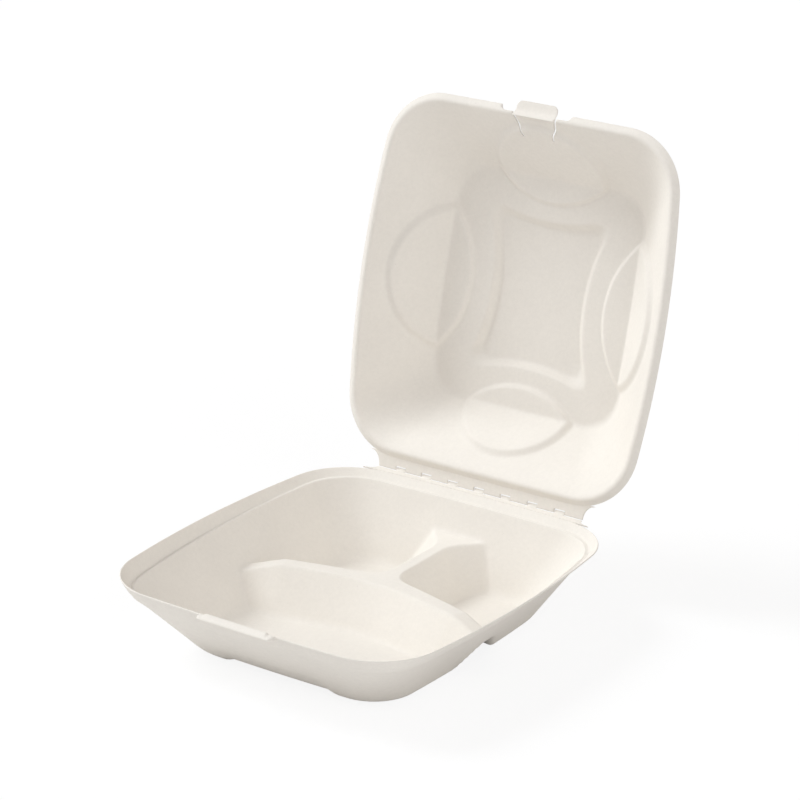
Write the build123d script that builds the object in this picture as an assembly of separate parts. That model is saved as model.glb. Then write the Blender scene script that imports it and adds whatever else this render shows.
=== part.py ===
from build123d import *
import math
import os

# A take-away box pressed from plant fibre: a tray with three compartments and a lid on a perforated crease.
# The origin is on the table under the front compartment. X runs along the crease, +Y to the crease, +Z up.
# The sizes below are measured from the middle of the rim, which lies behind the origin.

# Sheet, cuts and clearances
tray_wall = 1.0
lid_wall = 0.85
cut_overrun = 5.0
moving_gap = 0.3

# Tray rim, seen from above
rim_height = 50.0
rim_half_width = 115.0
rim_half_depth = 122.0
rim_corner_radius = 42.0
rim_side_bow = 10.0
rim_front_bow = 3.5
rim_behind_origin = 40.0

# Collar below the rim, and the ledge at its foot, which falls towards the front
collar_draft = 2.0
collar_depth_back = 4.2
collar_depth_front = 10.5
ledge_width = 2.0

# Tray floor
floor_half_width = 75.0
floor_front = 81.0
floor_back = 91.0
floor_corner_radius = 27.0
floor_side_bow = 3.0
floor_front_bow = 2.0
floor_fillet = 8.0

# Dividers: an arch across the tray, whose ends bend forwards and fall, and a stem from it to the back wall
divider_height = 27.5
divider_width = 8.0
divider_draft = 35.0
divider_edge_fillet = 2.2
divider_foot_rise = 3.0
divider_foot_run = 3.0
arch_front = 20.5
arch_slope = 14.0
arch_apex_share = 0.8
arch_bend_place = 64.0
arch_end_slope = 31.5
arch_end_fall = 20.0
stem_flare_place = 88.0
stem_flare_slope = 47.0
stem_flare_radius = 6.0
divider_fork_radius = 9.0

# Hinge flange, with tongues that bridge the perforated crease
crease_gap = 3.5
crease_place = rim_half_depth + crease_gap
crease_half_length = 77.0
crease_end_flare = 6.0
tongue_count = 7
tongue_pitch = 20.0
tongue_width = 7.0
tongue_run = 1.8
tongue_rise = 1.8

# Catch: a hollow lip over the middle of the front rim
catch_half_length = 27.5
catch_reach = 5.5
catch_depth = 9.0
catch_rise = 2.9
catch_height = 5.6

# Lid, in its closed place: hem, bead, wall and top panel
lid_half_width = 113.0
lid_half_depth = 118.0
lid_corner_radius = 41.0
lid_side_bow = 10.0
lid_front_bow = 0.5
hem_width = 4.8
bead_depth = 2.8
panel_height = 36.0
panel_half_width = 70.5
panel_half_depth = 75.5
panel_corner_radius = 24.0
panel_side_bow = 2.5
panel_front_bow = 1.5
panel_fillet = 3.0
opening_angle = 103.8

# Lid relief: a hollow-sided square pressed outwards, and a disc pressed inwards over each edge of the panel
square_half_width = 43.0
square_half_depth = 51.5
square_side_hollow = 11.0
square_front_hollow = 7.0
square_depth = 2.5
square_corner_radius = 5.0
disc_depth = 1.8
side_disc_half_chord = 47.5
side_disc_panel_reach = 21.0
side_disc_wall_reach = 38.0
end_disc_half_chord = 39.0
end_disc_panel_reach = 16.5
hinge_disc_wall_reach = 36.0
tab_disc_wall_reach = 46.0

# Locking tab in the middle of the lid's front edge
tab_half_width = 15.0
tab_tip_half_width = 14.0
tab_reach = 4.0
tab_tip_rise = 0.7
tab_corner_radius = 4.0
tab_slit_width = 0.8
tab_slit_length = 12.0
hem_notch_half_length = 25.0


def corner_centre(side_centre, side_gap, front_centre, front_gap):
    """Place at the given distances from two centres, on the outer side of both."""
    along = front_centre - side_centre
    share = (side_gap**2 - front_gap**2 + along.length**2) / (2 * along.length**2)
    foot = side_centre + along * share
    rise = math.sqrt(side_gap**2 - (foot - side_centre).length ** 2)
    across = Vector(-along.Y, along.X).normalized()
    return foot + across * rise


def bowed_face(half_width, half_depth, corner_radius, side_bow, front_bow):
    """Rounded rectangle with four bowed sides, drawn with eight arcs."""
    side_radius = (half_depth**2 + side_bow**2) / (2 * side_bow)
    front_radius = (half_width**2 + front_bow**2) / (2 * front_bow)
    side_centre = Vector(half_width - side_radius, 0)
    front_centre = Vector(0, half_depth - front_radius)
    centre = corner_centre(
        side_centre, side_radius - corner_radius, front_centre, front_radius - corner_radius
    )
    low = centre + (centre - side_centre).normalized() * corner_radius
    high = centre + (centre - front_centre).normalized() * corner_radius
    middle = centre + (low + high - centre * 2).normalized() * corner_radius

    def turn(point, x_sign, y_sign):
        return (point.X * x_sign, point.Y * y_sign)

    edges = []
    for x_sign, y_sign in ((1, 1), (-1, 1), (-1, -1), (1, -1)):
        edges.append(
            ThreePointArc(*(turn(p, x_sign, y_sign) for p in (low, middle, high)))
        )
    for y_sign in (1, -1):
        edges.append(
            ThreePointArc(turn(high, 1, y_sign), (0, half_depth * y_sign), turn(high, -1, y_sign))
        )
    for x_sign in (1, -1):
        edges.append(
            ThreePointArc(turn(low, x_sign, 1), (half_width * x_sign, 0), turn(low, x_sign, -1))
        )
    return make_face(Wire.combine(edges)[0].edges())


def rim_face(inset):
    """Outline of the tray at its rim, drawn in by an inset."""
    return bowed_face(
        rim_half_width - inset,
        rim_half_depth - inset,
        rim_corner_radius - inset,
        rim_side_bow,
        rim_front_bow,
    )


def floor_face(grow):
    """Outline of the tray at its floor, let out by a growth."""
    face = bowed_face(
        floor_half_width + grow,
        (floor_front + floor_back) / 2 + grow,
        floor_corner_radius + grow,
        floor_side_bow,
        floor_front_bow,
    )
    return Pos(0, (floor_back - floor_front) / 2) * face


def ledge_plane(drop):
    """Plane of the ledge, which falls towards the front, lowered by a drop."""
    depth = (collar_depth_back + collar_depth_front) / 2 + drop
    slope = math.atan2(collar_depth_front - collar_depth_back, 2 * rim_half_depth)
    return Plane(
        origin=(0, 0, rim_height - depth),
        x_dir=(1, 0, 0),
        z_dir=(0, -math.sin(slope), math.cos(slope)),
    )


def bowl(grow):
    """Solid that fills the tray: its inner face at no growth, its outer face at one wall."""
    wall_run = rim_half_width - tray_wall - collar_draft - ledge_width - floor_half_width
    wall_rise = rim_height - tray_wall - (collar_depth_back + collar_depth_front) / 2
    lean = math.atan2(wall_run, wall_rise)
    slanted_grow = grow * math.tan((math.pi / 2 - lean) / 2)
    collar_inset = tray_wall - grow
    ledge_inset = tray_wall + collar_draft + ledge_width - slanted_grow
    ledge = ledge_plane(grow)
    top = Pos(0, 0, rim_height) * rim_face(collar_inset)
    collar = loft([top, ledge * rim_face(collar_inset + collar_draft)], ruled=True)
    floor = Pos(0, 0, tray_wall - grow) * floor_face(slanted_grow)
    wall = loft([ledge * rim_face(ledge_inset), floor], ruled=True)
    wall = fillet(wall.faces().sort_by(Axis.Z)[0].edges(), floor_fillet + grow)
    return collar + wall


def arch_bend():
    """Place of the arch's right-hand bend, on the front edge of its top."""
    return Vector(arch_bend_place, arch_front - arch_bend_place * math.tan(math.radians(arch_slope)))


def bend_line():
    """Joint across the arch's top at its right-hand bend, half way between the directions of the two parts."""
    middle = math.radians(arch_end_slope + arch_slope) / 2
    turn = math.radians(arch_end_slope - arch_slope) / 2
    return Vector(math.sin(middle), math.cos(middle)) * (divider_width / math.cos(turn))


def divider_corners():
    """Right-hand corners of the dividers at their top, from the front of the arch round to the back."""
    slope = math.tan(math.radians(arch_slope))
    arch_back = arch_front + divider_width / math.cos(math.radians(arch_slope))
    half = divider_width / 2
    back = rim_half_depth + cut_overrun
    stem_spread = (back - stem_flare_place) / math.tan(math.radians(stem_flare_slope))
    return [
        Vector(0, arch_front),
        arch_bend(),
        arch_bend() + bend_line(),
        Vector(half, arch_back - slope * half),
        Vector(half, stem_flare_place),
        Vector(half + stem_spread, back),
    ]


def divider_spread(level, thin, foot):
    """Distance from the outline of the top to the face at a level, less the sheet, plus the foot's run."""
    draft = math.radians(divider_draft)
    return (divider_height - level) * math.tan(draft) - thin / math.cos(draft) + foot


def divider_face(spread):
    """Outline of the dividers between the arch's bends, let out by a spread."""
    right = divider_corners()
    left = [Vector(-p.X, p.Y) for p in reversed(right[1:])]
    corners = right + left
    right_spreads = [spread, 0, spread, spread, spread]
    spreads = right_spreads + [0] + list(reversed(right_spreads))
    apex_radius = arch_apex_share * arch_bend_place / math.sin(math.radians(arch_slope)) - spread
    right_radii = [0, 0, divider_fork_radius, stem_flare_radius, 0]
    radii = [apex_radius] + right_radii + list(reversed(right_radii))
    lines = []
    for corner, following, distance in zip(corners, corners[1:] + corners[:1], spreads):
        outwards = Vector(following.Y - corner.Y, corner.X - following.X).normalized()
        lines.append((corner + outwards * distance, (following - corner).normalized()))
    points = [meeting(lines[i - 1], lines[i]) for i in range(len(lines))]
    return make_face(FilletPolyline(*points, radius=radii, close=True).edges())


def meeting(first, second):
    """Point where two lines, each a place and a direction, cross."""
    (start, way), (other_start, other_way) = first, second
    gap = other_start - start
    reach = (gap.X * other_way.Y - gap.Y * other_way.X) / (way.X * other_way.Y - way.Y * other_way.X)
    return start + way * reach


def arch_end(form):
    """Right-hand end of the arch: the section at its bend drawn down through the side wall."""
    slope = math.radians(arch_end_slope)
    fall = math.radians(arch_end_fall)
    way = Vector(math.cos(slope), -math.sin(slope), -math.tan(fall))
    run = (rim_half_width - arch_bend_place) / math.cos(slope)
    end = Part()
    for face in form.faces():
        if face.center().X > arch_bend_place:
            end += extrude(face, run * way.length, dir=way.normalized())
    return end


def dividers(thin):
    """Solid under the dividers' skin: the outer face at no thickness, the hollow below at one wall."""
    floor = tray_wall - thin
    stations = (
        (divider_height - thin, 0),
        (floor + divider_foot_rise, 0),
        (floor, divider_foot_run),
        (floor - cut_overrun, divider_foot_run),
    )
    faces = []
    for level, foot in stations:
        faces.append(Pos(0, 0, level) * divider_face(divider_spread(level, thin, foot)))
    form = loft(faces, ruled=True)
    top = form.faces().sort_by(Axis.Z)[-1]
    edges = [edge for edge in top.edges() if abs(edge.center().X) < arch_bend_place]
    form = fillet(edges, divider_edge_fillet - thin)
    end = arch_end(form)
    return form + end + mirror(end, Plane.YZ)


def tongue_places():
    """Places of the tongues along the crease."""
    return [(number - (tongue_count - 1) / 2) * tongue_pitch for number in range(tongue_count)]


def hinge_flange():
    """Flange behind the rim up to the crease, with tongues that cross it and bend up."""
    edge = crease_place - moving_gap / 2
    root = rim_half_depth - crease_end_flare
    outline = Polyline(
        (-crease_half_length - crease_end_flare, root),
        (-crease_half_length, edge),
        (crease_half_length, edge),
        (crease_half_length + crease_end_flare, root),
        close=True,
    )
    flange = Pos(0, 0, rim_height - tray_wall) * extrude(make_face(outline.edges()), tray_wall)
    tip = crease_place + tongue_run
    low = rim_height - tray_wall
    section = make_face(
        Polyline(
            (edge - tray_wall, low),
            (edge, low),
            (tip, low + tongue_rise),
            (tip, rim_height + tongue_rise),
            (edge, rim_height),
            (edge - tray_wall, rim_height),
            close=True,
        ).edges()
    )
    tongue = extrude(Plane.YZ * section, tongue_width / 2, both=True)
    for place in tongue_places():
        flange += Pos(place, 0) * tongue
    return flange


def catch_lip():
    """Hollow lip over the front rim, open towards the inside so that the lid's tab can go under it."""
    place = Location((0, catch_depth / 2 - catch_reach - rim_half_depth, rim_height + catch_rise - catch_height / 2))
    section = Plane.YZ * Ellipse(catch_depth / 2, catch_height / 2)
    bore = Plane.YZ * Ellipse(catch_depth / 2 - tray_wall, catch_height / 2 - tray_wall)
    lip = extrude(section, catch_half_length, both=True)
    lip -= extrude(bore, catch_half_length - tray_wall, both=True)
    mouth = extrude(Pos(0, 0, rim_height) * rim_face(tray_wall), catch_rise - tray_wall)
    return place * lip - mouth - extrude(Pos(0, 0, rim_height) * rim_face(tray_wall), -catch_height)


def make_tray():
    """Tray sheet with its three compartments, the hollow under the dividers, flange and catch."""
    cavity = bowl(0) - dividers(0)
    shell = bowl(tray_wall) - dividers(tray_wall) - cavity
    return shell + (hinge_flange() - bowl(0)) + catch_lip()


def lid_face(inset):
    """Outline of the lid at the edge of its hem, drawn in by an inset."""
    return bowed_face(
        lid_half_width - inset,
        lid_half_depth - inset,
        lid_corner_radius - inset,
        lid_side_bow,
        lid_front_bow,
    )


def lid_lean():
    """Lean of the lid's wall from the upright."""
    return math.atan2(lid_half_width - hem_width - panel_half_width, panel_height + bead_depth)


def lid_form(grow):
    """Solid that fills the closed lid up to its inner face, let out by a growth."""
    lean = lid_lean()
    slanted_grow = grow * math.tan((math.pi / 2 - lean) / 2)
    panel = bowed_face(
        panel_half_width + slanted_grow,
        panel_half_depth + slanted_grow,
        panel_corner_radius + slanted_grow,
        panel_side_bow,
        panel_front_bow,
    )
    mouth = Pos(0, 0, rim_height - bead_depth) * lid_face(hem_width - grow / math.cos(lean))
    form = loft([mouth, Pos(0, 0, rim_height + panel_height + grow) * panel], ruled=True)
    return fillet(form.faces().sort_by(Axis.Z)[-1].edges(), panel_fillet + grow)


def square_form(grow):
    """Hollow-sided square pressed out of the panel, let out by a growth."""

    def outline(spread):
        width = square_half_width + spread
        depth = square_half_depth + spread
        corners = [(width, depth), (-width, depth), (-width, -depth), (width, -depth)]
        dips = [
            (0, depth - square_front_hollow),
            (square_side_hollow - width, 0),
            (0, square_front_hollow - depth),
            (width - square_side_hollow, 0),
        ]
        arcs = []
        for start, dip, end in zip(corners, dips, corners[1:] + corners[:1]):
            arcs.append(ThreePointArc(start, dip, end))
        return fillet(make_face(arcs).vertices(), square_corner_radius + spread)

    panel = rim_height + panel_height
    return loft(
        [Pos(0, 0, panel) * outline(grow + square_depth), Pos(0, 0, panel + square_depth + grow) * outline(grow)],
        ruled=True,
    )


def disc_ball(half_chord, panel_reach, wall_reach, shrink):
    """Ball that cuts the panel and one wall in the two parts of a folded disc; the fold is along Y at zero."""
    lean = lid_lean()
    panel_radius = (half_chord**2 / panel_reach + panel_reach) / 2
    panel_shift = panel_radius - panel_reach
    wall_shift = (half_chord**2 / wall_reach - wall_reach) / 2
    height = (wall_shift + panel_shift * math.sin(lean)) / math.cos(lean)
    ball = Sphere(math.hypot(panel_radius, height) - shrink)
    return Pos(panel_shift, 0, rim_height + panel_height + height) * ball


def disc_balls(shrink):
    """The four balls, one over each edge of the panel."""
    side = disc_ball(side_disc_half_chord, side_disc_panel_reach, side_disc_wall_reach, shrink)
    balls = []
    for turn, wall_reach in ((0, hinge_disc_wall_reach), (180, tab_disc_wall_reach)):
        end = disc_ball(end_disc_half_chord, end_disc_panel_reach, wall_reach, shrink)
        balls.append(Rot(0, 0, turn) * Pos(panel_half_width, 0) * side)
        balls.append(Rot(0, 0, turn + 90) * Pos(panel_half_depth, 0) * end)
    return balls


def pressed_form(grow):
    """Lid form with the square and the four discs pressed into it."""
    form = lid_form(grow)
    raised = lid_form(grow - disc_depth)
    for ball in disc_balls(grow):
        form = (form - ball) + (raised & ball)
    return form + square_form(grow)


def lid_hem():
    """Hem round the lid, falling from its outer edge to the bead."""
    edge = rim_height + moving_gap
    fall = moving_gap + bead_depth
    below = loft([Pos(0, 0, edge) * lid_face(0), Pos(0, 0, edge - fall) * lid_face(hem_width)], ruled=True)
    band = extrude(Pos(0, 0, edge) * lid_face(0), lid_wall)
    return below + band - Pos(0, 0, lid_wall) * below - Pos(0, 0, lid_wall) * band


def hinge_strip():
    """Strip from the lid's hem to the crease, notched for the tray's tongues."""
    start = lid_half_depth - hem_width / 2
    end = crease_place - moving_gap / 2
    outline = Polyline(
        (-crease_half_length - crease_end_flare, start),
        (-crease_half_length, end),
        (crease_half_length, end),
        (crease_half_length + crease_end_flare, start),
        close=True,
    )
    plan = make_face(outline.edges())
    notch_reach = math.hypot(tongue_run, tongue_rise) + moving_gap
    notch = Rectangle(tongue_width + 2 * moving_gap, 2 * notch_reach)
    for place in tongue_places():
        plan -= Pos(place, crease_place) * notch
    return extrude(Pos(0, 0, rim_height + moving_gap) * plan, lid_wall)


def locking_tab():
    """Tongue from the lid's bead out past its edge."""
    root = lid_half_depth - hem_width
    tip = lid_half_depth + tab_reach
    plan = make_face(
        FilletPolyline(
            (-tab_half_width, -root),
            (-tab_tip_half_width, -tip),
            (tab_tip_half_width, -tip),
            (tab_half_width, -root),
            radius=[0, tab_corner_radius, tab_corner_radius, 0],
            close=True,
        ).edges()
    )
    low = rim_height - bead_depth
    high = rim_height + tab_tip_rise
    section = make_face(
        Polyline(
            (-root, low), (-tip, high), (-tip, high + lid_wall), (-root, low + lid_wall), close=True
        ).edges()
    )
    return extrude(plan, 2 * rim_height) & extrude(Plane.YZ * section, 2 * tab_half_width, both=True)


def tab_cuts():
    """Gaps in the hem beside the tab, and the slits that free its root."""
    bead = lid_half_depth - hem_width + lid_wall / math.cos(lid_lean())
    gap_length = lid_half_depth + cut_overrun - bead
    gap = Pos(0, -bead - gap_length / 2, rim_height) * Box(
        2 * hem_notch_half_length, gap_length, 2 * bead_depth + 2 * cut_overrun
    )
    slit = Pos(tab_half_width + tab_slit_width / 2, -lid_half_depth, rim_height) * Box(
        tab_slit_width, 2 * (hem_width + tab_slit_length), 2 * (tab_slit_length + cut_overrun)
    )
    return gap, [slit, mirror(slit, Plane.YZ)]


def make_lid():
    """Lid in the place it has in the photograph's open pose."""
    cavity = pressed_form(0)
    gap, slits = tab_cuts()
    hem = lid_hem() - gap
    sheet = pressed_form(lid_wall) + hem + hinge_strip() + locking_tab() - cavity
    for slit in slits:
        sheet -= slit
    crease = Pos(0, crease_place, rim_height)
    return crease * Rot(-opening_angle, 0, 0) * crease.inverse() * sheet


parts = {"tray": make_tray(), "lid": make_lid()}
os.makedirs("parts", exist_ok=True)
for name, part in parts.items():
    placed = Pos(0, rim_behind_origin) * part
    export_step(placed, f"parts/{name}.step")
    print(name, len(placed.solids()), placed.volume, placed.bounding_box())
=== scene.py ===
# %% [markdown]
# # A take-away box pressed from plant fibre
# The object is a tray with three compartments and a lid on a perforated crease.
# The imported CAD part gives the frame, the two bodies and the hinge.
# Sizes here are in millimetres from the middle of the tray's rim, which lies behind the frame's origin.
# This script builds the same sheet again with soft, pressed edges, because a fibre pulp has no sharp ones.

import math

import bpy
import numpy as np
from mathutils import Matrix, Vector


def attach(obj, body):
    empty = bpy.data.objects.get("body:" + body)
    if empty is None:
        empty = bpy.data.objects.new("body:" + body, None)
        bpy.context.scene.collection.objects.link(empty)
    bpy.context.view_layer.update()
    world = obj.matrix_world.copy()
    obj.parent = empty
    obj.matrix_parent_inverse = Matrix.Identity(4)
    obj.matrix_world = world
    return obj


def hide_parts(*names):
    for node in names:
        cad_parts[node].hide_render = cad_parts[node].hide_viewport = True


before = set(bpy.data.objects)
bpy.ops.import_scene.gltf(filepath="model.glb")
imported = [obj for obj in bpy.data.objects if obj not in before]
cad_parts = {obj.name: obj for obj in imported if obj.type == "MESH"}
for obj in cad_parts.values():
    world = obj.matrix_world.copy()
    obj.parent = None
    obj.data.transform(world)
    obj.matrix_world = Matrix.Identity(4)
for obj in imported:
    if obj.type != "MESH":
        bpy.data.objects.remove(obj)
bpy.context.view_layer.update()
MM = 0.001
RIM_BEHIND_ORIGIN = 40.0

# %% [markdown]
# ## Outlines and soft edges
# Every closed outline of the box is a rounded rectangle with slightly bowed sides.
# Each one is drawn as a dense ring of points, and then read as a radius for each direction from a centre.
# A pressed edge could be modelled with bevels, but here heights are mixed with smooth maxima and minima:
# one number then sets how soft each edge is.


# %% Outline helpers
def bowed_outline(half_width, half_depth, corner, side_bow, front_bow, shift=0.0, count=300):
    """Points round a rounded rectangle with bowed sides, in millimetres."""
    side_r = (half_depth**2 + side_bow**2) / (2 * side_bow)
    front_r = (half_width**2 + front_bow**2) / (2 * front_bow)
    side_c = np.array([half_width - side_r, 0.0])
    front_c = np.array([0.0, half_depth - front_r])
    along = front_c - side_c
    span = np.hypot(*along)
    foot = ((side_r - corner) ** 2 - (front_r - corner) ** 2 + span**2) / (2 * span)
    rise = math.sqrt((side_r - corner) ** 2 - foot**2)
    way = along / span
    corner_c = side_c + way * foot + np.array([-way[1], way[0]]) * rise
    low = math.atan2(*(corner_c - side_c)[::-1])
    high = math.atan2(*(corner_c - front_c)[::-1])
    parts = []
    for centre, radius, start, end in (
        (side_c, side_r, 0.0, low),
        (corner_c, corner, low, high),
        (front_c, front_r, high, math.pi / 2),
    ):
        angle = np.linspace(start, end, count)
        parts.append(np.c_[centre[0] + radius * np.cos(angle), centre[1] + radius * np.sin(angle)])
    quarter = np.vstack(parts)
    flip = quarter[::-1] * [-1, 1]
    ring = np.vstack([quarter, flip, -quarter, -flip])
    return ring + [0.0, shift]


def inset(sizes, amount):
    """Outline sizes drawn in by an amount."""
    return (sizes[0] - amount, sizes[1] - amount, sizes[2] - amount, sizes[3], sizes[4])


def radius_at(outline, centre, angles):
    """Distance from the centre to an outline, for each direction."""
    arm = outline - centre
    turn = np.arctan2(arm[:, 1], arm[:, 0])
    order = np.argsort(turn)
    return np.interp(angles, turn[order], np.hypot(*arm.T)[order], period=2 * math.pi)


def even_angles(outline, centre, count):
    """Directions whose points lie at even steps along an outline."""
    arm = outline - centre
    turn = np.unwrap(np.arctan2(arm[:, 1], arm[:, 0]))
    steps = np.hypot(*np.diff(outline, axis=0, append=outline[:1]).T)
    walk = np.concatenate([[0.0], np.cumsum(steps)])
    turn = np.append(turn, turn[0] + 2 * math.pi)
    return np.interp(np.linspace(0, walk[-1], count, endpoint=False), walk, turn)


print("outline helpers ready")


# %% Blending helpers
def smooth_max(a, b, soft):
    """Larger of two heights, blended over a soft band."""
    share = np.maximum(soft - np.abs(a - b), 0) / soft
    return np.maximum(a, b) + share**2 * soft / 4


def smooth_min(a, b, soft):
    """Smaller of two heights, blended over a soft band."""
    return -smooth_max(-a, -b, soft)


def ease(value, width):
    """Nought to one across a band centred on nought."""
    t = np.clip(value / width + 0.5, 0, 1)
    return t * t * (3 - 2 * t)


print("blending helpers ready")

# %% [markdown]
# ## A sheet from a polar grid
# A pressed sheet has an inner and an outer face that run side by side.
# It could be made with a thickness modifier, but that would spend half of the triangles
# on a side that is rarely seen.
# So the inner face is a fine grid of rays and rings, and the outer face takes every second ray and ring,
# moved along the inner face's own normals. The two meet in a rounded edge.

# %% Grid helpers
# Steps of a rounded edge, and the rings of the outer face that are rounded, counted from its rim
EDGE_STEPS = 6
OUTER_BAND = (2, 16)


def ring_normals(points):
    """Unit normals of a closed polar grid, rings by rays by three."""
    across = np.gradient(points, axis=0)
    along = np.roll(points, -1, axis=1) - np.roll(points, 1, axis=1)
    normal = np.cross(across, along)
    return normal / np.maximum(np.linalg.norm(normal, axis=2, keepdims=True), 1e-9)


def smooth_rings(points, first, last, times):
    """Rounds the corners of the profile between two rings."""
    for _ in range(times):
        middle = points[first:last]
        points[first:last] = (points[first - 1 : last - 1] + 2 * middle + points[first + 1 : last + 1]) / 4
    return points


def rounded_edge(inner, normal, wall):
    """Rings that round a sheet's edge, from its inner face towards its outer face."""
    edge, face = inner[-1], normal[-1]
    outward = np.cross(np.roll(edge, -1, axis=0) - np.roll(edge, 1, axis=0), face)
    outward /= np.linalg.norm(outward, axis=1, keepdims=True)
    outward *= np.sign(np.sum(outward * (edge - inner[-3]), axis=1, keepdims=True))
    turns = [math.pi * k / EDGE_STEPS for k in range(1, EDGE_STEPS)]
    return np.array([
        edge + outward * math.sin(t) * wall / 2 - face * (1 - math.cos(t)) * wall / 2 for t in turns
    ])


def grid_faces(rows, rays, start):
    """Faces of a closed grid whose points begin at a place in the list."""
    faces = []
    for low in range(start, start + (rows - 1) * rays, rays):
        for i in range(rays):
            k = (i + 1) % rays
            faces.append((low + i, low + k, low + rays + k, low + rays + i))
    return faces


print("grid helpers ready")


# %% Sheet builder
def mesh_of(name, points, faces):
    """Mesh in metres from points in millimetres."""
    mesh = bpy.data.meshes.new(name)
    mesh.from_pydata((np.asarray(points) * MM).tolist(), [], faces)
    return mesh


def sheet_mesh(name, inner, wall, up, outer_soft):
    """Closed sheet from an inner grid; `up` is the inner face's side, `outer_soft` rounds the outer rim."""
    normal = ring_normals(inner) * up
    rings, rays = inner.shape[:2]
    half = rays // 2
    fine = np.concatenate([inner, rounded_edge(inner, normal, wall)])
    keep = np.unique(np.append(np.arange(0, rings, 2), rings - 1))[::-1]
    outer = smooth_rings((inner - normal * wall)[keep][:, ::2], *OUTER_BAND, outer_soft)
    start = len(fine) * rays
    last = start - rays
    faces = grid_faces(len(fine), rays, 0)
    for i in range(half):
        k = (i + 1) % half
        faces.append((last + 2 * i, last + 2 * i + 1, start + i))
        faces.append((last + 2 * i + 1, last + (2 * i + 2) % rays, start + k, start + i))
    faces += grid_faces(len(outer), half, start)
    centre = start + len(outer) * half
    bottom = centre - half
    faces += [(centre, (i + 1) % rays, i) for i in range(rays)]
    faces += [(bottom + i, bottom + (i + 1) % half, centre + 1) for i in range(half)]
    middles = [inner[:1].mean(1), outer[-1:].mean(1)]
    mesh = mesh_of(name, np.vstack([fine.reshape(-1, 3), outer.reshape(-1, 3), *middles]), faces)
    mesh.validate()
    if up < 0:
        mesh.flip_normals()
    print(name, len(mesh.vertices), "points", len(mesh.polygons), "faces")
    return mesh


def add_object(name, mesh):
    """Object for a mesh, linked and shaded smooth."""
    obj = bpy.data.objects.new(name, mesh)
    bpy.context.scene.collection.objects.link(obj)
    mesh.polygons.foreach_set("use_smooth", [True] * len(mesh.polygons))
    return obj


print("sheet builder ready")

# %% [markdown]
# ## Tray: bowl and dividers
# The bowl is a floor, a leaning wall, a narrow ledge that falls towards the front,
# and a collar that leans out to the rim.
# The dividers are an arch across the tray, whose ends bend forwards and fall,
# and a stem that flares to the back wall.
# They could be cut and bevelled from blocks, but a press leaves one flowing sheet.
# So each face of a divider is a plane in plan distance and height, a divider is the lowest of its planes,
# and the tray is the highest of bowl and dividers. The polar centre sits where arch and stem meet.

# %% Tray sizes
# An outline is its half width, half depth, corner radius, and the bows of its sides and of its front.
# Each SOFT is the width over which two faces blend.
TRAY_WALL = 1.0
RIM = 50.0
RIM_OUT = (115.0, 122.0, 42.0, 10.0, 3.5)
FLOOR_OUT = (75.0, 86.0, 27.0, 3.0, 2.0)
FLOOR_SHIFT = 5.0
FLOOR_SOFT = 6.0
# The collar's lean, and its depth under the rim at the back and in front
COLLAR_LEAN = 4.6
COLLAR_BACK = 4.2
COLLAR_FRONT = 10.5
LEDGE_WIDTH = 2.0
LEDGE_CREST = 0.4
# The floor's raised front, between two feet
FEET_GAP_HALF = 38.0
FEET_GAP_SOFT = 8.0
FEET_GAP_BACK = 60.0
FEET_GAP_RUN = 16.0
FEET_GAP_RISE = 2.2


def ledge_height(y):
    """Height of the ledge, higher at the back than at the front."""
    middle = RIM - (COLLAR_BACK + COLLAR_FRONT) / 2
    return middle + y * (COLLAR_FRONT - COLLAR_BACK) / (2 * RIM_OUT[1])


print("ledge from", ledge_height(-RIM_OUT[1]), "in front to", ledge_height(RIM_OUT[1]), "mm at the back")

# %% Divider sizes
# A WAY is the angle in plan by which a line of the arch falls forwards, towards the side walls.
# A BEND is the place where a line of the arch turns into the line of its end.
DIVIDER_TOP = 27.5
FACE_RUN = math.tan(math.radians(35))
ARCH_WAY = math.radians(14)
ARCH_FRONT = 20.5
ARCH_BACK = (0.0, 28.74)
ARCH_BOW = 28.0
ARCH_BOW_RUN = 0.25
END_WAY = math.radians(21)
END_BACK_WAY = math.radians(15)
END_FALL = math.tan(math.radians(16))
END_SOFT = 3.0
BEND = (64.0, 4.54)
BEND_BACK = (67.13, 12.0)
BEND_SOFT = 1.5
STEM_HALF = 4.0
FLARE_PLACE = 88.0
FLARE_WAY = math.radians(47)
FLARE_SOFT = 6.0
FORK_SOFT = 17.0
RIDGE_SOFT = 0.6
TOP_SOFT = 0.8
DIVIDER_FOOT_SOFT = 2.6
print("dividers", DIVIDER_TOP, "mm high")


# %% Divider heights
def beyond(x, y, place, way):
    """Distance in front of a line through a place that falls forwards at an angle."""
    return (place[1] - y) * math.cos(way) - (x - place[0]) * math.sin(way)


def divider_heights(x, y):
    """Height of the arch with its falling ends, and of the stem with its flare, over each point."""
    side = np.abs(x)
    middle = (ARCH_WAY + END_WAY) / 2
    along = (side - BEND[0]) * math.cos(middle) - (y - BEND[1]) * math.sin(middle)
    top = DIVIDER_TOP - END_FALL * smooth_max(along, np.zeros_like(along), END_SOFT)
    bowed = ARCH_FRONT - ARCH_BOW_RUN * np.sqrt(side**2 + ARCH_BOW**2)
    front = smooth_min((bowed - y) * math.cos(ARCH_WAY), beyond(side, y, BEND, END_WAY), BEND_SOFT)
    arch_back = -beyond(side, y, ARCH_BACK, ARCH_WAY)
    back = smooth_max(arch_back, -beyond(side, y, BEND_BACK, END_BACK_WAY), BEND_SOFT)
    spread = (side - STEM_HALF) * math.sin(FLARE_WAY) - (y - FLARE_PLACE) * math.cos(FLARE_WAY)
    stem = DIVIDER_TOP - smooth_min(side - STEM_HALF, spread, FLARE_SOFT) / FACE_RUN
    behind = smooth_max(top - back / FACE_RUN, stem, FORK_SOFT)
    ridge = smooth_min(top - front / FACE_RUN, behind, RIDGE_SOFT)
    return smooth_min(ridge, top, TOP_SOFT)


fork = divider_heights(np.zeros(1), np.array([ARCH_BACK[1]]))
print("height where the stem leaves the arch", fork[0], "mm")

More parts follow.
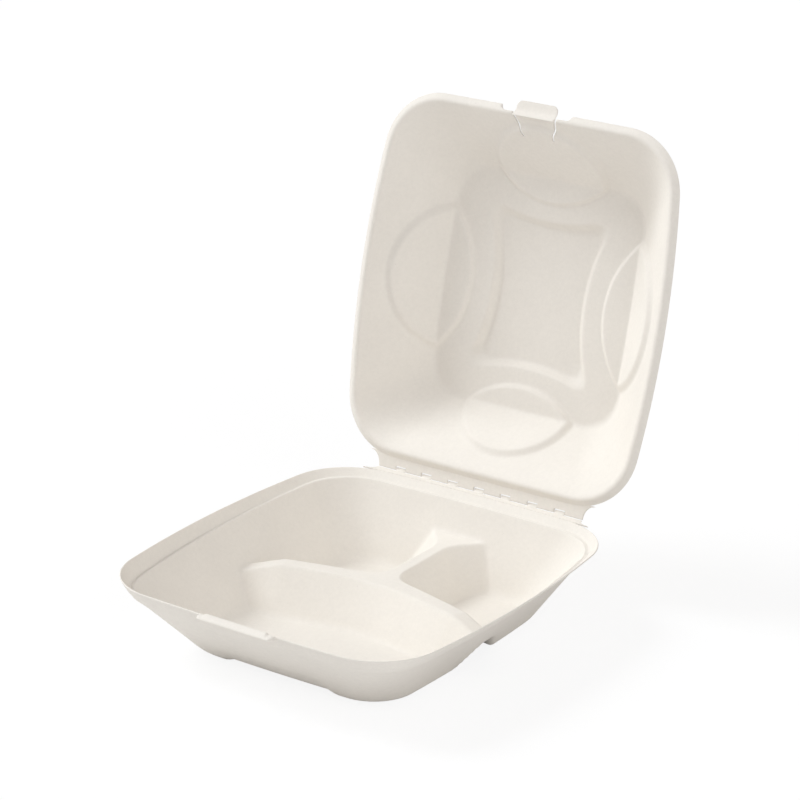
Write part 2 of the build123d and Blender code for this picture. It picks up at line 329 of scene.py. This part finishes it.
# %% Tray grid sizes
TRAY_CENTRE = np.array([0.0, 20.0])
TRAY_GUIDE = (95.0, 104.0, 35.0, 6.0, 3.0)
TRAY_RAYS = 460
FLOOR_RINGS = 82
WALL_RINGS = 51
LEDGE_RINGS = 5
COLLAR_RINGS = 10
FIRST_SHARE = 0.015
OUTER_SMOOTHING = 12


def bowl_heights(x, y, radii, floor, ledge, top):
    """Height of floor and wall, raised a little between the two front feet."""
    wall = TRAY_WALL + (radii - floor) * (top - TRAY_WALL) / (ledge - floor)
    bowl = smooth_max(wall, np.full_like(wall, TRAY_WALL), FLOOR_SOFT)
    low = np.clip(1 - (bowl - TRAY_WALL) / FEET_GAP_RUN, 0, 1)
    between = ease(FEET_GAP_HALF - np.abs(x), FEET_GAP_SOFT) * ease(-FEET_GAP_BACK - y, FEET_GAP_RUN)
    return bowl + FEET_GAP_RISE * between * low


print("tray grid", TRAY_RAYS, "rays,", FLOOR_RINGS + WALL_RINGS + LEDGE_RINGS + COLLAR_RINGS, "rings")


# %% Tray grid
def tray_grid():
    """Inner face of the tray, rings by rays by three, in millimetres."""
    angles = even_angles(bowed_outline(*TRAY_GUIDE), TRAY_CENTRE, TRAY_RAYS)
    ray = np.c_[np.cos(angles), np.sin(angles)]
    rim, collar, ledge = (
        radius_at(bowed_outline(*inset(RIM_OUT, TRAY_WALL + amount)), TRAY_CENTRE, angles)
        for amount in (0.0, COLLAR_LEAN, COLLAR_LEAN + LEDGE_WIDTH)
    )
    floor = radius_at(bowed_outline(*FLOOR_OUT, shift=FLOOR_SHIFT), TRAY_CENTRE, angles)
    radii = [floor * t for t in np.linspace(FIRST_SHARE, 1, FLOOR_RINGS)]
    radii += [floor + (ledge - floor) * t for t in np.linspace(0, 1, WALL_RINGS + 1)[1:]]
    radii = np.array(radii)
    place = TRAY_CENTRE + radii[:, :, None] * ray
    x, y = place[..., 0], place[..., 1]
    top = ledge_height(TRAY_CENTRE[1] + ledge * ray[:, 1]) + LEDGE_CREST
    bowl = bowl_heights(x, y, radii, floor, ledge, top)
    points = [np.dstack([x, y, smooth_max(bowl, divider_heights(x, y), DIVIDER_FOOT_SOFT)])]
    for share in np.linspace(0, 1, LEDGE_RINGS + 1)[1:]:
        spot = TRAY_CENTRE + (ledge + (collar - ledge) * share)[:, None] * ray
        points.append(np.c_[spot, ledge_height(spot[:, 1]) + LEDGE_CREST * (1 - share) ** 2][None])
    foot = ledge_height(TRAY_CENTRE[1] + collar * ray[:, 1])
    for share in np.linspace(0, 1, COLLAR_RINGS + 1)[1:]:
        spot = TRAY_CENTRE + (collar + (rim - collar) * share)[:, None] * ray
        points.append(np.c_[spot, foot + (RIM - TRAY_WALL / 2 - foot) * share][None])
    second = FLOOR_RINGS + WALL_RINGS + 1
    return smooth_rings(np.concatenate(points), second, second + LEDGE_RINGS, 1)


tray_mesh = sheet_mesh("tray_sheet", tray_grid(), TRAY_WALL, 1.0, OUTER_SMOOTHING)
tray_piece = add_object("tray_sheet", tray_mesh)

# %% [markdown]
# ## Lid: walls, panel and pressed relief
# The lid is built closed, over the tray, and then turned open about the crease.
# Its wall runs from a bead near the hem to the panel.
# Four discs straddle the panel's edges and are pressed inwards. They could be drawn on wall and panel apart,
# but each is the part of the lid inside a ball here, so its outline is a circle on both at once.
# A square with hollow sides is pressed outwards in the middle.

# %% Lid sizes
# BEAD is how far the bead lies under the rim, and HEM how far it lies inside the lid's edge.
LID_WALL = 0.85
GAP = 0.3
CREASE = 125.5
OPENING = 103.8
LID_OUT = (113.0, 118.0, 41.0, 10.0, 0.5)
PANEL_OUT = (70.5, 75.5, 24.0, 2.5, 1.5)
PANEL_RISE = 36.0
BEAD = 2.8
HEM = 4.8
HEM_SOFT = 3.6
FOLD_SOFT = 2.2
LEAN = math.atan2(LID_OUT[0] - HEM - PANEL_OUT[0], PANEL_RISE + BEAD)
print("lid wall leans", math.degrees(LEAN), "degrees")

# %% Discs
# A disc is half its chord on the fold, its reach on the panel and its reach on the wall.
DISC_DEPTH = 2.7
DISC_EDGE = 2.8
SIDE_DISC = (47.5, 21.0, 38.0)
HINGE_DISC = (39.0, 16.5, 36.0)
TAB_DISC = (39.0, 16.5, 46.0)


def ball(half_chord, panel_reach, wall_reach):
    """Shift, height and radius of the ball that cuts one folded disc."""
    panel_r = (half_chord**2 / panel_reach + panel_reach) / 2
    shift = panel_r - panel_reach
    wall_shift = (half_chord**2 / wall_reach - wall_reach) / 2
    height = (wall_shift + shift * math.sin(LEAN)) / math.cos(LEAN)
    return shift, height, math.hypot(panel_r, height)


def disc_share(points):
    """One inside any of the four discs, nought outside."""
    share = np.zeros(points.shape[:2])
    for axis, sign, sizes in ((0, 1, SIDE_DISC), (0, -1, SIDE_DISC), (1, 1, HINGE_DISC), (1, -1, TAB_DISC)):
        shift, height, radius = ball(*sizes)
        centre = np.zeros(3)
        centre[axis] = sign * (PANEL_OUT[axis] + shift)
        centre[2] = RIM + PANEL_RISE + height
        share = np.maximum(share, ease(radius - np.linalg.norm(points - centre, axis=2), DISC_EDGE))
    return share


print("side disc ball", ball(*SIDE_DISC))

# %% Hollow-sided square
SQUARE_DEPTH = 4.4
SQUARE_EDGE = 5.8
SQUARE_EDGE_SHIFT = 1.0
SQUARE_CORNER_SOFT = 14.0
SQUARE_HALF_WIDTH = 43.0
SQUARE_HALF_DEPTH = 51.5
SQUARE_SIDE_HOLLOW = 11.0
SQUARE_FRONT_HOLLOW = 7.0


def inside_hollow(half, reach, hollow, across, along):
    """Distance inside a pair of opposite hollow sides."""
    bend = (reach**2 + hollow**2) / (2 * hollow)
    return np.hypot(half - hollow + bend - np.abs(across), along) - bend


def square_share(x, y):
    """One inside the hollow-sided square of the panel, nought outside."""
    sides = inside_hollow(SQUARE_HALF_WIDTH, SQUARE_HALF_DEPTH, SQUARE_SIDE_HOLLOW, x, y)
    ends = inside_hollow(SQUARE_HALF_DEPTH, SQUARE_HALF_WIDTH, SQUARE_FRONT_HOLLOW, y, x)
    return ease(smooth_min(sides, ends, SQUARE_CORNER_SOFT) + SQUARE_EDGE_SHIFT, SQUARE_EDGE)


print("square", 2 * SQUARE_HALF_WIDTH, "by", 2 * SQUARE_HALF_DEPTH, "mm")

# %% Lid grid
LID_GUIDE = (92.0, 97.0, 33.0, 6.0, 1.0)
LID_RAYS = 460
PANEL_RINGS = 86
LID_WALL_RINGS = 59
HEM_RINGS = 9
PANEL_FIRST_SHARE = 0.02


def lid_grid():
    """Inner face of the closed lid, rings by rays by three, in millimetres."""
    centre = np.zeros(2)
    angles = even_angles(bowed_outline(*LID_GUIDE), centre, LID_RAYS)
    ray = np.c_[np.cos(angles), np.sin(angles)]
    edge, bead, panel = (
        radius_at(bowed_outline(*sizes), centre, angles)
        for sizes in (inset(LID_OUT, LID_WALL / 2), inset(LID_OUT, HEM), PANEL_OUT)
    )
    radii = [panel * t for t in np.linspace(PANEL_FIRST_SHARE, 1, PANEL_RINGS)]
    radii += [panel + (bead - panel) * t for t in np.linspace(0, 1, LID_WALL_RINGS + 1)[1:]]
    radii += [bead + (edge - bead) * t for t in np.linspace(0, 1, HEM_RINGS + 1)[1:]]
    radii = np.array(radii)
    wall = RIM + PANEL_RISE - (radii - panel) / (bead - panel) * (PANEL_RISE + BEAD)
    form = smooth_min(wall, np.full_like(wall, RIM + PANEL_RISE), FOLD_SOFT)
    hem = RIM - BEAD + (radii - bead) / (edge - bead) * (BEAD + GAP)
    points = np.dstack([radii[:, :, None] * ray, smooth_max(form, hem, HEM_SOFT)])
    inward = ring_normals(points)
    inward *= -np.sign(inward[..., 2:])
    points = points + inward * (DISC_DEPTH * disc_share(points))[..., None]
    points[..., 2] += SQUARE_DEPTH * square_share(points[..., 0], points[..., 1])
    return points


lid_piece = add_object("lid_sheet", sheet_mesh("lid_sheet", lid_grid(), LID_WALL, -1.0, 0))

# %% [markdown]
# ## Small pieces of sheet
# The locking tab, the hinge strip, and the flange with its tongues are small bent pieces of the same sheet.
# They could be plates with bevelled edges. A grid of points with a thickness below it bends more smoothly,
# and a narrow bevel then softens its rim.

# %% Patch builder
SOFT_EDGE = 0.25
SOFT_STEPS = 2
SOFT_ANGLE = math.radians(50)


def patch(name, grid, thick):
    """Closed piece of sheet under a grid of points, rows by columns by three, in millimetres."""
    rows, columns = grid.shape[:2]
    count = rows * columns
    points = np.concatenate([grid.reshape(-1, 3), (grid - [0, 0, thick]).reshape(-1, 3)])
    faces = []
    for r in range(rows - 1):
        for c in range(columns - 1):
            a = r * columns + c
            face = (a, a + 1, a + columns + 1, a + columns)
            faces += [face, tuple(count + i for i in reversed(face))]
    border = list(range(columns)) + [r * columns + columns - 1 for r in range(1, rows)]
    border += [(rows - 1) * columns + c for c in reversed(range(columns - 1))]
    border += [r * columns for r in reversed(range(1, rows - 1))]
    for a, b in zip(border, border[1:] + border[:1]):
        faces.append((b, a, count + a, count + b))
    obj = add_object(name, mesh_of(name, points, faces))
    bevel = obj.modifiers.new("soft_edge", "BEVEL")
    bevel.width = SOFT_EDGE * MM
    bevel.segments = SOFT_STEPS
    bevel.limit_method = "ANGLE"
    bevel.angle_limit = SOFT_ANGLE
    return obj


print("patch builder ready")


# %% Cutting and joining
def prism(name, outline, low, high):
    """Upright prism over a plan outline, used as a cutter."""
    count = len(outline)
    points = [(x, y, z) for z in (low, high) for x, y in outline]
    faces = [tuple(range(count))[::-1], tuple(range(count, 2 * count))]
    faces += [(i, (i + 1) % count, count + (i + 1) % count, count + i) for i in range(count)]
    return add_object(name, mesh_of(name, points, faces))


def settle(obj):
    """Applies an object's modifiers to its mesh."""
    graph = bpy.context.evaluated_depsgraph_get()
    mesh = bpy.data.meshes.new_from_object(obj.evaluated_get(graph))
    old = obj.data
    obj.modifiers.clear()
    obj.data = mesh
    bpy.data.meshes.remove(old)


def cut(obj, cutters):
    """Takes the cutters out of an object and removes them."""
    for cutter in cutters:
        change = obj.modifiers.new("cut", "BOOLEAN")
        change.operation = "DIFFERENCE"
        change.solver = "EXACT"
        change.object = cutter
    settle(obj)
    for cutter in cutters:
        bpy.data.objects.remove(cutter)


def join(target, extras):
    """Joins extra pieces into a target object."""
    for extra in extras:
        settle(extra)
    with bpy.context.temp_override(active_object=target, selected_editable_objects=[target, *extras]):
        bpy.ops.object.join()


print("cutting and joining ready")

# %% [markdown]
# ## Hem gaps and locking tab
# The hem stops on each side of the locking tab, with rounded ends, and two slits that run together
# free the tab's root. The gaps could be left out of the lid's grid, but the rings run straight through them,
# so they are cut with upright prisms. The tab is a patch that starts at the bead and rises to a rounded tip.

# %% Cut the lid's hem
BEAD_REACH = 1.3
BEAD_EDGE = LID_OUT[1] - HEM + BEAD_REACH
OUTSIDE = 124.0
CUT_LOW = 44.0
HEM_CUT_TOP = 56.0
SLIT_CUT_TOP = 62.0
TAB_GAP_HALF = 15.6
HEM_GAP_START = 15.0
HEM_GAP_END = 26.8
SLIT_LENGTH = 14.5
SLIT_ROOT = (10.4, 11.5)
SLIT_MOUTH = (14.9, 16.2)
HEM_END = [(22.6, 0.0), (24.0, 0.4), (25.0, 1.4), (25.6, 2.6), (HEM_GAP_END, 3.7)]

hem_gap = [(HEM_GAP_START, BEAD_EDGE)]
hem_gap += [(x, BEAD_EDGE + rise) for x, rise in HEM_END]
hem_gap += [(HEM_GAP_END, OUTSIDE), (HEM_GAP_START, OUTSIDE)]
slit = [(x, BEAD_EDGE - SLIT_LENGTH) for x in SLIT_ROOT]
slit += [(SLIT_MOUTH[1], BEAD_EDGE), (SLIT_MOUTH[1], OUTSIDE)]
slit += [(SLIT_MOUTH[0], OUTSIDE), (SLIT_MOUTH[0], BEAD_EDGE)]
tab_gap = [(-TAB_GAP_HALF, -OUTSIDE), (TAB_GAP_HALF, -OUTSIDE)]
tab_gap += [(TAB_GAP_HALF, -BEAD_EDGE), (-TAB_GAP_HALF, -BEAD_EDGE)]
cutters = [prism("tab_gap", tab_gap, CUT_LOW, HEM_CUT_TOP)]
for sign in (1, -1):
    for name, outline, high in (("hem_gap", hem_gap, HEM_CUT_TOP), ("tab_slit", slit, SLIT_CUT_TOP)):
        turned = [(sign * x, -y) for x, y in outline]
        cutters.append(prism(name, turned[::-sign], CUT_LOW, high))
cut(lid_piece, cutters)
print("hem cut,", len(lid_piece.data.polygons), "faces")

# %% Tab
TAB_HALF = 14.85
TAB_CORNER = 4.0
TAB_STRAIGHT = 118.0
TAB_COLUMNS = 25
TAB_PROFILE_Y = [112.6, 113.2, 114.4, 115.6, 116.6, 119.0, 122.0]
TAB_PROFILE_Z = [-4.3, -4.0, -2.4, -1.0, -0.4, 0.1, 0.55]
TAB_ROWS = [
    112.6, 113.2, 113.8, 114.4, 115.2, 116.2, 117.2, 118.0, 118.8, 119.6, 120.4, 121.1, 121.6, 121.85, 122.0
]


def tab_grid():
    """Upper face of the tab on the closed lid, from its tip to its root."""
    y = np.array(TAB_ROWS)[:, None]
    z = np.interp(y, TAB_PROFILE_Y, TAB_PROFILE_Z)
    arc = np.sqrt(np.clip(1 - ((y - TAB_STRAIGHT) / TAB_CORNER) ** 2, 0, 1))
    half = np.where(y < TAB_STRAIGHT, TAB_HALF, TAB_HALF - TAB_CORNER + TAB_CORNER * arc)
    across = np.linspace(1, -1, TAB_COLUMNS)
    flat = np.ones(TAB_COLUMNS)
    return np.dstack([half * across, -y * flat, (RIM + z + LID_WALL) * flat])[::-1]


tab = patch("tab", tab_grid(), LID_WALL)
print("tab", len(tab.data.polygons), "faces before its soft edge")

# %% [markdown]
# ## Perforated crease
# In the real box strip and flange are one piece that folds along a row of short cuts.
# The lid has to turn as a rigid body, so the sheet is parted at the crease:
# the strip with its notches rides on the lid, and the flange with seven bent tongues rides on the tray.
# A sheet that bends across the hinge could join them, but two stiff pieces with a narrow gap
# move more simply, and the gap hardly shows.

# %% Crease shape
CREASE_HALF = 77.0
CREASE_FLARE = 8.0
CREASE_SHORT = 0.15
CREASE_ROWS = 12
CREASE_COLUMNS = 120
STRIP_START = 115.4
FLANGE_OVERLAP = 0.6
TONGUE_COUNT = 7
TONGUE_PITCH = 20.0
TONGUE_HALF = 3.5
TONGUE_RUN = np.array([-1.2, -0.15, 0.3, 0.9, 1.8])
TONGUE_RISE = np.array([0.0, 0.02, 0.25, 0.8, 1.75])
NOTCH_REACH = 2.85
NOTCH_LOW = 48.0
NOTCH_TOP = 54.0
TONGUES = [TONGUE_PITCH * (k - (TONGUE_COUNT - 1) // 2) for k in range(TONGUE_COUNT)]


def crease_half(share):
    """Half length from the crease, share nought, to hem or rim, share one; the ends are hollow."""
    return CREASE_HALF + CREASE_FLARE * (1 - np.sqrt(1 - np.clip(share, 0, 1) ** 2))


def rim_back(x):
    """Back edge of the tray's rim over x."""
    bend = (RIM_OUT[0] ** 2 + RIM_OUT[4] ** 2) / (2 * RIM_OUT[4])
    return RIM_OUT[1] - bend + np.sqrt(bend**2 - np.asarray(x) ** 2)


def crease_grid(start, height):
    """Grid from a back edge, given over x, to just short of the crease."""
    rows = []
    for share in np.linspace(1, 0, CREASE_ROWS):
        x = np.linspace(-1, 1, CREASE_COLUMNS) * crease_half(share)
        y = (CREASE - CREASE_SHORT) * (1 - share) + start(x) * share
        rows.append(np.c_[x, y, np.full(CREASE_COLUMNS, height)])
    return np.array(rows)


print("tongues at", TONGUES)

# %% Strip on the lid
strip = patch("strip", crease_grid(lambda x: np.full_like(x, STRIP_START), RIM + GAP + LID_WALL), LID_WALL)
FOUR_CORNERS = ((-1, -1), (1, -1), (1, 1), (-1, 1))
notches = []
for place in TONGUES:
    outline = [(place + sx * (TONGUE_HALF + GAP), CREASE + sy * NOTCH_REACH) for sx, sy in FOUR_CORNERS]
    notches.append(prism("notch", outline, NOTCH_LOW, NOTCH_TOP))
cut(strip, notches)
join(lid_piece, [tab, strip])
crease_place = Matrix.Translation((0, CREASE * MM, RIM * MM))
open_turn = crease_place @ Matrix.Rotation(math.radians(-OPENING), 4, "X") @ crease_place.inverted()
lid_piece.data.transform(open_turn)
print("lid", len(lid_piece.data.polygons), "faces, turned open by", OPENING, "degrees")

# %% Flange and tongues on the tray
flange = patch("flange", crease_grid(lambda x: rim_back(x) - FLANGE_OVERLAP, RIM), TRAY_WALL)
tongues = []
for place in TONGUES:
    rows = len(TONGUE_RUN)
    x = np.repeat((place + np.linspace(-TONGUE_HALF, TONGUE_HALF, rows))[None], rows, 0)
    y = np.repeat((CREASE + TONGUE_RUN)[:, None], rows, 1)
    z = np.repeat((RIM + TONGUE_RISE)[:, None], rows, 1)
    tongues.append(patch("tongue", np.dstack([x, y, z]), TRAY_WALL))
print("flange and", len(tongues), "tongues")

# %% [markdown]
# ## Catch
# The catch is a lip on the front rim that the tab goes behind.
# It has a raised bar that steps down near both ends.
# It could be a box with bevels, but its section is rounded and its ends shrink to the rim,
# so one section is carried along the rim and scaled on the way.

# %% Catch
CATCH_START = 121.2
CATCH_HALF = 27.5
CATCH_END_RUN = 2.5
CATCH_BAR_HALF = 22.4
CATCH_STEP = 2.2
CATCH_LOW_SHARE = 0.42
CATCH_DENSE = 20.0
CATCH_ROOT = 0.6
CATCH_END_COLUMNS = 24
CATCH_MIDDLE_COLUMNS = 22
CATCH_LEAST_END = 0.02
CATCH_Y = np.array([
    121.2, 122.3, 122.45, 122.8, 123.6, 125.0, 126.2, 126.9, 127.25, 127.3, 127.1, 126.4, 124.5, 122.6, 121.2
])
CATCH_Z = np.array([-0.6, -0.3, 1.3, 1.95, 2.1, 1.4, 0.6, 0.1, -0.4, -0.9, -1.3, -1.4, -1.6, -2.2, -2.6])


def catch_mesh():
    """Lip along the front rim: a raised bar that steps down near both ends."""
    left = np.linspace(-CATCH_HALF, -CATCH_DENSE, CATCH_END_COLUMNS)
    middle = np.linspace(-CATCH_DENSE, CATCH_DENSE, CATCH_MIDDLE_COLUMNS)[1:-1]
    right = np.linspace(CATCH_DENSE, CATCH_HALF, CATCH_END_COLUMNS)
    along = np.concatenate([left, middle, right])
    tall = CATCH_LOW_SHARE + (1 - CATCH_LOW_SHARE) * ease(CATCH_BAR_HALF - np.abs(along), CATCH_STEP)
    past = np.clip((np.abs(along) - CATCH_HALF + CATCH_END_RUN) / CATCH_END_RUN, 0, 1)
    end = np.sqrt(np.clip(1 - past**2, CATCH_LEAST_END, 1))
    rows = []
    for x, high, shrink in zip(along, tall, end):
        z = np.where(CATCH_Z > 0, CATCH_Z * high, CATCH_Z)
        y = -CATCH_START - (CATCH_Y - CATCH_START) * shrink
        rows.append(np.c_[np.full(len(z), x), y, RIM - CATCH_ROOT + (z + CATCH_ROOT) * shrink])
    wide = len(CATCH_Y)
    last = (len(rows) - 1) * wide
    faces = grid_faces(len(rows), wide, 0)
    faces += [tuple(range(wide))[::-1], tuple(range(last, last + wide))]
    return mesh_of("catch", np.concatenate(rows), faces)


catch = add_object("catch", catch_mesh())
join(tray_piece, [flange, *tongues, catch])
print("tray", len(tray_piece.data.polygons), "faces")

# %% [markdown]
# ## Moulded fibre
# The sheet is matt, warm off-white and slightly uneven, with faint darker specks.
# A picture of fibre could be wrapped on it, but the box would then need a layout of its surface.
# Noise in the object's own space needs none, so two node groups make the tone and the grain.


# %% Node helpers
def group(name, output, kind):
    """Empty shader group with a place as input and one named output."""
    made = bpy.data.node_groups.new(name, "ShaderNodeTree")
    made.interface.new_socket("Place", in_out="INPUT", socket_type="NodeSocketVector")
    made.interface.new_socket(output, in_out="OUTPUT", socket_type=kind)
    return made, made.nodes.new("NodeGroupInput"), made.nodes.new("NodeGroupOutput")


def noise(tree, place, scale, detail, rough=0.55):
    """Noise texture at a scale, read at a place."""
    node = tree.nodes.new("ShaderNodeTexNoise")
    node.inputs["Scale"].default_value = scale
    node.inputs["Detail"].default_value = detail
    node.inputs["Roughness"].default_value = rough
    tree.links.new(place, node.inputs["Vector"])
    return node.outputs["Fac"]


def band(tree, value, source, target):
    """Maps a value from a source range to a target range and holds it there."""
    node = tree.nodes.new("ShaderNodeMapRange")
    for label, number in zip(("From Min", "From Max", "To Min", "To Max"), (*source, *target)):
        node.inputs[label].default_value = number
    tree.links.new(value, node.inputs["Value"])
    return node.outputs["Result"]


def combine(tree, operation, first, second):
    """Sum, product or other operation on two values."""
    node = tree.nodes.new("ShaderNodeMath")
    node.operation = operation
    for socket, value in zip(node.inputs, (first, second)):
        if isinstance(value, (int, float)):
            socket.default_value = value
        else:
            tree.links.new(value, socket)
    return node.outputs["Value"]


print("node helpers ready")

# %% Fibre groups
FIBRE_COLOR = (0.864, 0.823, 0.762, 1.0)
FELT_SHARE = 0.6


def fibre_tone():
    """Colour of the pulp: broad unevenness, fine mottle and a few specks."""
    tree, start, end = group("Fibre tone", "Color", "NodeSocketColor")
    place = start.outputs["Place"]
    cloud = noise(tree, place, scale=28.0, detail=3.0)
    cloud = band(tree, cloud, source=(0.3, 0.7), target=(0.985, 1.012))
    mottle = noise(tree, place, scale=420.0, detail=4.0, rough=0.7)
    mottle = band(tree, mottle, source=(0.3, 0.7), target=(0.975, 1.02))
    speck = noise(tree, place, scale=900.0, detail=2.0)
    speck = band(tree, speck, source=(0.73, 0.80), target=(1.0, 0.86))
    tone = combine(tree, "MULTIPLY", combine(tree, "MULTIPLY", cloud, mottle), speck)
    mix = tree.nodes.new("ShaderNodeMix")
    mix.data_type = "RGBA"
    mix.blend_type = "MULTIPLY"
    mix.inputs["Factor"].default_value = 1.0
    mix.inputs["A"].default_value = FIBRE_COLOR
    tree.links.new(tone, mix.inputs["B"])
    tree.links.new(mix.outputs["Result"], end.inputs["Color"])
    return tree


def fibre_grain():
    """Height of the grain: felt marks and fine fibre."""
    tree, start, end = group("Fibre grain", "Height", "NodeSocketFloat")
    place = start.outputs["Place"]
    felt = noise(tree, place, scale=260.0, detail=3.0, rough=0.6)
    fine = noise(tree, place, scale=1100.0, detail=3.0, rough=0.6)
    felt = combine(tree, "MULTIPLY", felt, FELT_SHARE)
    fine = combine(tree, "MULTIPLY", fine, 1 - FELT_SHARE)
    tree.links.new(combine(tree, "ADD", felt, fine), end.inputs["Height"])
    return tree


tone_group, grain_group = fibre_tone(), fibre_grain()
print("groups", tone_group.name, "and", grain_group.name)


# %% Fibre material
def fibre_material():
    """Matt pulp with the tone and grain groups."""
    material = bpy.data.materials.new("moulded_fibre")
    material.use_nodes = True
    tree = material.node_tree
    shader = tree.nodes["Principled BSDF"]
    place = tree.nodes.new("ShaderNodeTexCoord").outputs["Object"]
    tone, grain = tree.nodes.new("ShaderNodeGroup"), tree.nodes.new("ShaderNodeGroup")
    tone.node_tree, grain.node_tree = tone_group, grain_group
    bump = tree.nodes.new("ShaderNodeBump")
    bump.inputs["Strength"].default_value = 0.25
    bump.inputs["Distance"].default_value = 0.0003
    for node in (tone, grain):
        tree.links.new(place, node.inputs["Place"])
    tree.links.new(tone.outputs["Color"], shader.inputs["Base Color"])
    tree.links.new(grain.outputs["Height"], bump.inputs["Height"])
    tree.links.new(bump.outputs["Normal"], shader.inputs["Normal"])
    shader.inputs["Roughness"].default_value = 0.72
    shader.inputs["Specular IOR Level"].default_value = 0.3
    return material


fibre = fibre_material()
for piece, body, node in ((tray_piece, "tray_body", "tray"), (lid_piece, "lid_body", "lid")):
    piece.data.materials.clear()
    piece.data.materials.append(fibre)
    piece.data.polygons.foreach_set("use_smooth", [True] * len(piece.data.polygons))
    piece.data.transform(Matrix.Translation((0, RIM_BEHIND_ORIGIN * MM, 0)))
    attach(piece, body)
    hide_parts(node)

# %% [markdown]
# ## Ground
# The box stands on an even white ground. A curved backdrop could be built,
# but a wide pale floor and a pale sky give the same ground.
# The floor shows white to the camera and keeps a faint shadow; other rays see it as plain pale paper.

# %% Floor
FLOOR_REACH = 9.0
PAPER = (0.9, 0.9, 0.9, 1.0)
SEEN_PAPER = (0.14, 0.14, 0.14, 1.0)
SEEN_GLOW = (0.87, 0.87, 0.87, 1.0)
NO_GLOW = (0.0, 0.0, 0.0, 1.0)


def floor_material():
    """White ground with a faint shadow for the camera, pale paper for every other ray."""
    material = bpy.data.materials.new("floor_paper")
    material.use_nodes = True
    tree = material.node_tree
    shader = tree.nodes["Principled BSDF"]
    shader.inputs["Roughness"].default_value = 1.0
    shader.inputs["Specular IOR Level"].default_value = 0.0
    shader.inputs["Emission Strength"].default_value = 1.0
    seen = tree.nodes.new("ShaderNodeLightPath")
    for target, other, camera in (("Base Color", PAPER, SEEN_PAPER), ("Emission Color", NO_GLOW, SEEN_GLOW)):
        mix = tree.nodes.new("ShaderNodeMix")
        mix.data_type = "RGBA"
        mix.inputs["A"].default_value = other
        mix.inputs["B"].default_value = camera
        tree.links.new(seen.outputs["Is Camera Ray"], mix.inputs["Factor"])
        tree.links.new(mix.outputs["Result"], shader.inputs[target])
    return material


corners = [(x * FLOOR_REACH, y * FLOOR_REACH, 0.0) for x, y in FOUR_CORNERS]
floor_mesh = bpy.data.meshes.new("floor")
floor_mesh.from_pydata(corners, [], [(0, 1, 2, 3)])
floor_mesh.materials.append(floor_material())
floor = add_object("floor", floor_mesh)
print("floor", 2 * FLOOR_REACH, "m wide")

# %% [markdown]
# ## Light
# The light comes mostly from the left and above, with a softer one lower on the left
# and a fill from the right. Area lamps could give it, but distant lamps with a wide angle
# light the whole box alike and are easier to aim.
# They are a little cooler than the sky, so the shaded sides of the fibre look warmer.

# %% Light
LAMP_COLOR = (0.955, 1.0, 1.03)
SKY_COLOR = (1.0, 0.945, 0.915, 1.0)
SKY_STRENGTH = 0.44
WHITE = (1.0, 1.0, 1.0, 1.0)


def soft_sun(name, direction, strength, spread):
    """Distant lamp that shines from a direction with a spread in degrees."""
    data = bpy.data.lights.new(name, "SUN")
    data.color = LAMP_COLOR
    data.angle = math.radians(spread)
    data.energy = strength
    lamp = bpy.data.objects.new(name, data)
    bpy.context.scene.collection.objects.link(lamp)
    lamp.rotation_euler = Vector(direction).to_track_quat("Z", "Y").to_euler()


def background(tree, strength, color):
    """Background of a given strength and colour."""
    node = tree.nodes.new("ShaderNodeBackground")
    node.inputs["Color"].default_value = color
    node.inputs["Strength"].default_value = strength
    return node.outputs["Background"]


def studio_sky():
    """World that lights the box softly and is white to the camera."""
    world = bpy.data.worlds.new("studio")
    world.use_nodes = True
    tree = world.node_tree
    choice = tree.nodes.new("ShaderNodeMixShader")
    seen = tree.nodes.new("ShaderNodeLightPath")
    tree.links.new(seen.outputs["Is Camera Ray"], choice.inputs["Fac"])
    tree.links.new(background(tree, SKY_STRENGTH, SKY_COLOR), choice.inputs[1])
    tree.links.new(background(tree, 1.0, WHITE), choice.inputs[2])
    tree.links.new(choice.outputs["Shader"], tree.nodes["World Output"].inputs["Surface"])
    return world


soft_sun("key", direction=(-0.68, -0.15, 0.72), strength=1.62, spread=22)
soft_sun("side", direction=(-0.80, -0.40, 0.45), strength=0.56, spread=40)
soft_sun("fill", direction=(0.80, -0.30, 0.50), strength=0.72, spread=40)
bpy.context.scene.world = studio_sky()
print("three lamps and a sky of strength", SKY_STRENGTH)

# %% [markdown]
# ## Camera
# The camera stands where the photo's outlines put it, with a long lens.
# It could be aimed by eye, but the place was fitted to both rims and the crease,
# and is given as angles round a target and a focal length in pixels of the square picture.

# %% Camera
PICTURE_SIDE = 800
SENSOR = 36


def photo_camera(azimuth, elevation, roll, distance, target, focal_pixels):
    """Camera that sees the object as the photo does."""
    az, el, turn = (math.radians(a) for a in (azimuth, elevation, roll))
    back = Vector((math.sin(az) * math.cos(el), -math.cos(az) * math.cos(el), math.sin(el)))
    right = Vector((math.cos(az), math.sin(az), 0))
    up = back.cross(right)
    side = right * math.cos(turn) + up * math.sin(turn)
    top = up * math.cos(turn) - right * math.sin(turn)
    data = bpy.data.cameras.new("photo_camera")
    data.sensor_width = SENSOR
    data.lens = focal_pixels / PICTURE_SIDE * SENSOR
    camera = bpy.data.objects.new("photo_camera", data)
    bpy.context.scene.collection.objects.link(camera)
    camera.matrix_world = Matrix((side, top, back)).transposed().to_4x4()
    camera.location = Vector(target) + back * distance
    return camera


bpy.context.scene.camera = photo_camera(
    azimuth=34.70,
    elevation=20.51,
    roll=0.59,
    distance=1.82526,
    target=(-0.00072, 0.07903, 0.13817),
    focal_pixels=3047.16,
)
bpy.context.scene.view_settings.view_transform = "Standard"
print("camera lens", bpy.context.scene.camera.data.lens, "mm")
